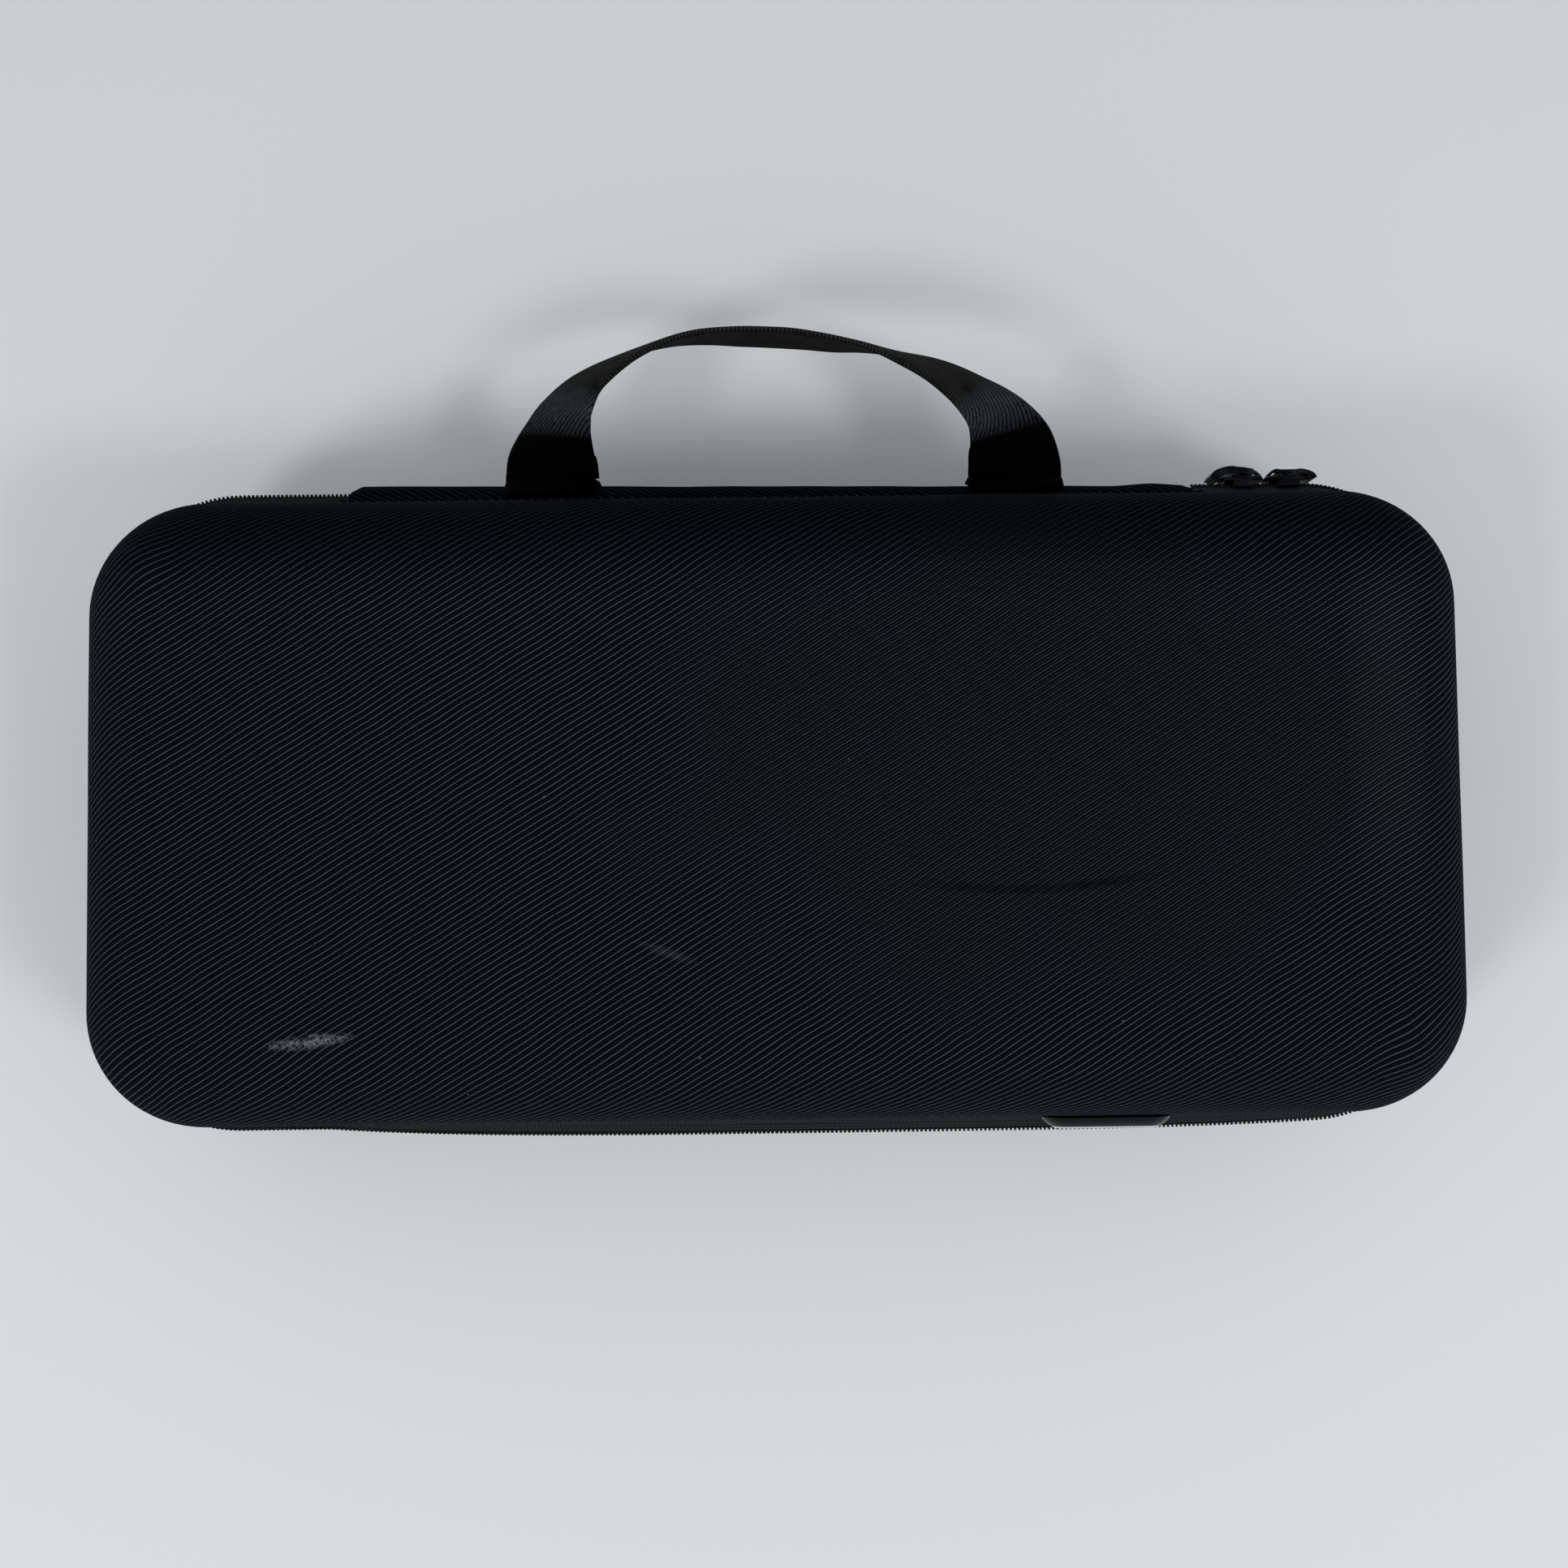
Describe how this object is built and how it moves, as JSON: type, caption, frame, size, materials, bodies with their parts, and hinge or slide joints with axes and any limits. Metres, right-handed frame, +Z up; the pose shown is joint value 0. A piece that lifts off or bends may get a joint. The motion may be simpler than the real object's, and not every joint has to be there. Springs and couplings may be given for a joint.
{
  "type": "zip-round equipment case",
  "caption": "Moulded clamshell equipment case faced in ribbed twill, with a fabric hinge, coil zip, webbing handle, foam tray and net lid pocket.",
  "frame": {"origin": "middle of the base's flat underside, taken at the shell and not at the handle", "axes": "+X to the right along the case, seen from the front, towards the sliders; +Y to the hinge and handle side; +Z up through the lid"},
  "size_m": [0.3574, 0.217, 0.09],
  "materials": {
    "twill": "ribbed polyester twill bonded to moulded foam, blue-black, faint sheen",
    "lining": "brushed tricot, matt black",
    "binding": "folded grosgrain ribbon, stitched",
    "tape": "knitted zip tape",
    "coil": "nylon coil",
    "webbing": "polyester webbing, diagonal weave",
    "foam": "closed-cell foam, cut",
    "elastic": "ribbed elastic",
    "net": "warp-knit net",
    "gunmetal": "black-nickel plated zinc",
    "bright": "polished plate",
    "resin": "glossy black"
  },
  "bodies": {
    "base": {"base_shell": "twill", "base_lining": "lining", "base_rim_binding": "binding", "zip_tape_lower": "tape", "zip_coil_lower": "coil", "foam_tray": "foam", "tray_strap": "elastic", "strap_patch_front": "webbing", "strap_patch_back": "webbing"},
    "spine": {"hinge_strip": "twill", "hinge_lining": "lining", "handle_foot_left": "webbing", "handle_foot_right": "webbing"},
    "lid": {"lid_shell": "twill", "lid_lining": "lining", "lid_rim_binding": "binding", "zip_tape_upper": "tape", "zip_coil_upper": "coil", "net_pocket": "net", "net_binding": "binding", "net_elastic": "elastic", "badge_rim": "bright", "badge_plate": "resin"},
    "handle": {"handle_loop": "webbing"},
    "slider_inner": {"slider_inner_body": "gunmetal", "slider_inner_bridge": "gunmetal"},
    "slider_outer": {"slider_outer_body": "gunmetal", "slider_outer_bridge": "gunmetal"},
    "pull_inner": {"slider_inner_pull": "gunmetal"},
    "pull_outer": {"slider_outer_pull": "gunmetal"}
  },
  "joints": [
    {"name": "lower_fold", "type": "hinge", "parent": "base", "child": "spine", "pos_m": [0, 0.0876, 0.038], "axis": [-1, 0, 0], "range_deg": [0, 90]},
    {"name": "upper_fold", "type": "hinge", "parent": "spine", "child": "lid", "pos_m": [0, 0.0876, 0.052], "axis": [-1, 0, 0], "range_deg": [0, 90]},
    {"name": "handle_swing", "type": "hinge", "parent": "spine", "child": "handle", "pos_m": [0.00325, 0.08775, 0.0484], "axis": [-1, 0, 0], "range_deg": [-70, 8]},
    {"name": "slider_inner_run", "type": "slide", "parent": "spine", "child": "slider_inner", "axis": [1, 0, 0], "range_m": [-0.004, 0]},
    {"name": "slider_outer_run", "type": "slide", "parent": "spine", "child": "slider_outer", "axis": [1, 0, 0], "range_m": [0, 0.002]},
    {"name": "pull_inner_flip", "type": "hinge", "parent": "slider_inner", "child": "pull_inner", "pos_m": [0.1289, 0.08845, 0.045], "axis": [0, 0, -1], "range_deg": [0, 90]},
    {"name": "pull_outer_flip", "type": "hinge", "parent": "slider_outer", "child": "pull_outer", "pos_m": [0.136, 0.08845, 0.045], "axis": [0, 0, 1], "range_deg": [0, 90]}
  ],
  "couplings": [
    {"joint": "upper_fold", "follows": "lower_fold", "ratio": 1}
  ]
}
